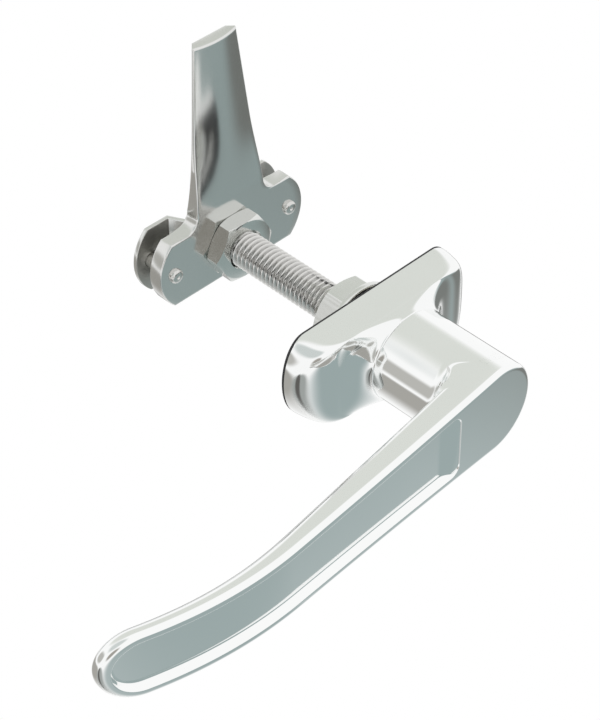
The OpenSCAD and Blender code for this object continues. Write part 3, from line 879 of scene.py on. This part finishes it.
def make_cam_plate():
    near = PLATE_EDGE_STEPS
    ear_steps, fillet_steps, tongue_steps, steps = 28, 14, 36, 20
    levels = [-EAR_H + d for d in near]
    levels += [mix(-EAR_MIDDLE, EAR_MIDDLE, i / ear_steps) for i in range(ear_steps + 1)]
    levels += [EAR_H - d for d in reversed(near)] + [EAR_H + EAR_STEP]
    for i in range(1, fillet_steps + 1):
        levels.append(TONGUE_FOOT - EAR_FILLET * math.cos(math.pi / 2 * i / fillet_steps))
    for i in range(1, tongue_steps + 1):
        levels.append(mix(TONGUE_FOOT, TONGUE_TIP - TIP_BAND, i / tongue_steps))
    levels += [TONGUE_TIP - d for d in reversed(near)]
    front, back, columns = [], [], 0
    for z in levels:
        half = plate_half_width(z)
        t = clamp01((z - TONGUE_FOOT) / (TONGUE_TIP - TONGUE_FOOT))
        face = CAM_Y + TONGUE_LEAN * t
        rear = face + PLATE_T - TONGUE_THIN * t
        rear_half = half - TONGUE_DRAFT * (1 - (1 - t) ** DRAFT_POWER)
        crown = TONGUE_CROWN * smoothstep(CROWN_RUN * t)
        inner = half - PLATE_EDGE_R
        xs = [-half + d for d in near[:-1]] + [mix(-inner, inner, i / steps) for i in range(steps + 1)]
        xs += [half - d for d in reversed(near[:-1])]
        columns = len(xs)
        for x in xs:
            drop = plate_edge_drop(x, z, half)
            front.append((x, face + crown * (x / half) ** 2 + drop, z))
            back.append((x * rear_half / half, rear - drop, z))
    rows = len(levels)
    total = rows * columns
    faces = []
    for k in range(rows - 1):
        for i in range(columns - 1):
            a = k * columns + i
            faces.append((a, a + 1, a + columns + 1, a + columns))
            faces.append((total + a, total + a + columns, total + a + columns + 1, total + a + 1))
    rim = list(range(columns)) + [k * columns + columns - 1 for k in range(1, rows)]
    rim += [(rows - 1) * columns + i for i in range(columns - 2, -1, -1)]
    rim += [k * columns for k in range(rows - 2, 0, -1)]
    for i, a in enumerate(rim):
        b = rim[(i + 1) % len(rim)]
        faces.append((a, b, total + b, total + a))
    plate = piece_from("cam_plate_forging", front + back, faces, CAM_NICKEL, CAST_SHARP_DEG)
    work_round(plate, "DIFFERENCE", SPINDLE_HOLE_R, *PLATE_CUT_Y, sharp_deg=CAST_SHARP_DEG)
    mount_piece(plate, "cam", "cam_nickel", "cam_plate")


def make_strap():
    strap = softened_copy("rear_strap_bent", "rear_strap", STRAP_EDGE_R, CAM_NICKEL)
    # Painted shade: faces turned towards the cam plate's back get the darker nickel copy instead of the
    # plain nickel
    strap.data.materials.append(NICKEL_PAINTED_SHADE)
    for face in strap.data.polygons:
        face.material_index = 1 if face.normal.y < STRAP_PAINTED_SHADE_NORMAL else 0
    mount_piece(strap, "cam", "cam_nickel", "rear_strap")


def make_gasket():
    gasket = softened_copy("gasket_sheet", "gasket", GASKET_EDGE_R, GASKET_RUBBER)
    mount_piece(gasket, "escutcheon", "gasket_rubber", "gasket")


def paint_inner_nodes():
    for node, material in (
        ("neck_bush", BEARING_POLYMER), ("neck_seal", GASKET_RUBBER), ("thrust_washer", BEARING_POLYMER),
        ("spindle_pin", PIN_ZINC), ("spring_washer", PIN_ZINC),
    ):
        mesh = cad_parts[node].data
        mesh.materials.clear()
        mesh.materials.append(material)


# Studio

FLOOR_Z = -0.45


def soft_light(name, colour):
    """An even glow that fades out towards the rim of its card."""
    material = bpy.data.materials.new(name)
    material.use_nodes = True
    tree = material.node_tree
    tree.nodes.remove(tree.nodes["Principled BSDF"])
    coords = add_node(tree, "ShaderNodeTexCoord", (-800, 0))
    radius = add_node(tree, "ShaderNodeVectorMath", (-600, 0), operation="LENGTH")
    fade = add_node(tree, "ShaderNodeMapRange", (-400, 0), interpolation_type="SMOOTHSTEP")
    fade.inputs["From Min"].default_value = 0.5
    fade.inputs["To Min"].default_value = 1.0
    fade.inputs["To Max"].default_value = 0.0
    light = add_node(tree, "ShaderNodeEmission", (-200, -200))
    light.inputs["Color"].default_value = (*colour, 1)
    clear = add_node(tree, "ShaderNodeBsdfTransparent", (-200, 100))
    blend = add_node(tree, "ShaderNodeMixShader", (0, 0))
    link = tree.links.new
    link(coords.outputs["Object"], radius.inputs[0])
    link(radius.outputs["Value"], fade.inputs["Value"])
    link(fade.outputs["Result"], blend.inputs["Fac"])
    link(clear.outputs["BSDF"], blend.inputs[1])
    link(light.outputs["Emission"], blend.inputs[2])
    link(blend.outputs["Shader"], tree.nodes["Material Output"].inputs["Surface"])
    return material


def square_object(name, material):
    mesh = bpy.data.meshes.new(name)
    mesh.from_pydata([(-1, -1, 0), (1, -1, 0), (1, 1, 0), (-1, 1, 0)], [], [(0, 1, 2, 3)])
    mesh.materials.append(material)
    obj = bpy.data.objects.new(name, mesh)
    bpy.context.scene.collection.objects.link(obj)
    return obj


def soft_card(name, centre, half_w, half_h, colour, flat=False):
    """A card that only reflections see, lying on the floor or facing the object."""
    card = square_object(name, soft_light(name, colour))
    card.visible_camera = False
    card.visible_shadow = False
    card.visible_diffuse = False
    centre = Vector(centre)
    turn = Matrix.Identity(4) if flat else centre.to_track_quat("Z", "Y").to_matrix().to_4x4()
    card.matrix_world = Matrix.Translation(centre) @ turn @ Matrix.Diagonal((half_w, half_h, 1, 1))


def floor_material():
    """White paper: even white behind the object, plain paper for the light that falls on it."""
    material = bpy.data.materials.new("floor_paper")
    material.use_nodes = True
    tree = material.node_tree
    paper = tree.nodes["Principled BSDF"]
    paper.inputs["Base Color"].default_value = (0.9, 0.9, 0.9, 1)
    paper.inputs["Roughness"].default_value = 0.9
    white = add_node(tree, "ShaderNodeEmission", (0, -300))
    path = add_node(tree, "ShaderNodeLightPath", (-600, 300))
    seen = add_node(tree, "ShaderNodeMath", (-400, 300), operation="MAXIMUM")
    seen_too = add_node(tree, "ShaderNodeMath", (-200, 300), operation="MAXIMUM")
    blend = add_node(tree, "ShaderNodeMixShader", (300, 0))
    link = tree.links.new
    link(path.outputs["Is Camera Ray"], seen.inputs[0])
    link(path.outputs["Is Glossy Ray"], seen.inputs[1])
    link(seen.outputs["Value"], seen_too.inputs[0])
    link(path.outputs["Is Transmission Ray"], seen_too.inputs[1])
    link(seen_too.outputs["Value"], blend.inputs["Fac"])
    link(paper.outputs["BSDF"], blend.inputs[1])
    link(white.outputs["Emission"], blend.inputs[2])
    link(blend.outputs["Shader"], tree.nodes["Material Output"].inputs["Surface"])
    return material


def make_studio():
    scene = bpy.context.scene
    scene.view_settings.view_transform = "Standard"
    world = bpy.data.worlds.new("studio")
    world.use_nodes = True
    world.node_tree.nodes["Background"].inputs["Color"].default_value = (1, 1, 1, 1)
    world.node_tree.nodes["Background"].inputs["Strength"].default_value = 1.0
    scene.world = world
    floor = square_object("floor", floor_material())
    floor.matrix_world = Matrix.Translation((0, 0, FLOOR_Z)) @ Matrix.Diagonal((6, 6, 1, 1))
    soft_card("card_front_teal", (0.35, -0.85, FLOOR_Z + 0.01), 1.35, 0.95, (0.34, 0.41, 0.41), True)
    soft_card("card_right_dark", (0.75, -0.2, FLOOR_Z + 0.03), 0.45, 0.4, (0.20, 0.21, 0.20), True)
    soft_card("card_back_warm", (-0.6, 0.6, FLOOR_Z + 0.02), 0.8, 0.8, (0.40, 0.39, 0.365), True)
    soft_card("card_behind_grey", (0.42, 0.45, FLOOR_Z + 0.015), 0.4, 0.4, (0.22, 0.22, 0.21), True)
    soft_card("card_rear_floor", (0.4, 1.8, FLOOR_Z + 0.01), 1.3, 0.75, (0.36, 0.39, 0.39), True)
    soft_card("card_far_left", (-1.3, 0.85, 0.05), 0.8, 0.45, (0.50, 0.495, 0.47))
    soft_card("scrim_overhead", (0.2, 1.0, 1.05), 1.6, 0.85, (0.72, 0.74, 0.70))
    soft_card("scrim_left", (-0.85, 0.05, 0.8), 0.75, 0.6, (0.62, 0.66, 0.65))
    soft_card("card_left_warm", (-1.3, -0.8, 0.1), 0.5, 0.5, (0.37, 0.35, 0.32))
    soft_card("card_left_grey", (-0.7, -0.1, FLOOR_Z + 0.035), 0.65, 0.3, (0.36, 0.38, 0.37), True)
    soft_card("flag_left_dark", (-0.75, -0.05, FLOOR_Z + 0.04), 0.6, 0.09, (0.12, 0.115, 0.11), True)


def make_camera():
    lens = bpy.data.cameras.new("photo_camera")
    lens.sensor_fit = "VERTICAL"
    lens.sensor_height = CAMERA_SENSOR
    lens.lens = CAMERA_LENS
    lens.clip_start = 0.01
    lens.clip_end = 50.0
    camera = bpy.data.objects.new("photo_camera", lens)
    back = Vector(CAMERA_BACK).normalized()
    right = Vector(CAMERA_RIGHT)
    right = (right - back * right.dot(back)).normalized()
    up = back.cross(right)
    turn = Matrix((right, up, back)).transposed().to_4x4()
    camera.matrix_world = Matrix.Translation(CAMERA_PLACE) @ turn
    bpy.context.scene.collection.objects.link(camera)
    bpy.context.scene.camera = camera


make_camera()
make_studio()
make_handle()
make_escutcheon()
make_gasket()
make_spindle()
make_nut("retaining_hexagon", "retaining_nut", "handle", RETAINING_NUT)
make_nut("jam_hexagon", "jam_nut", "cam", JAM_NUT)
make_nut("rear_hexagon", "rear_nut", "cam", REAR_NUT)
make_washers()
make_cam_plate()
make_strap()
make_rod_pins()
paint_inner_nodes()
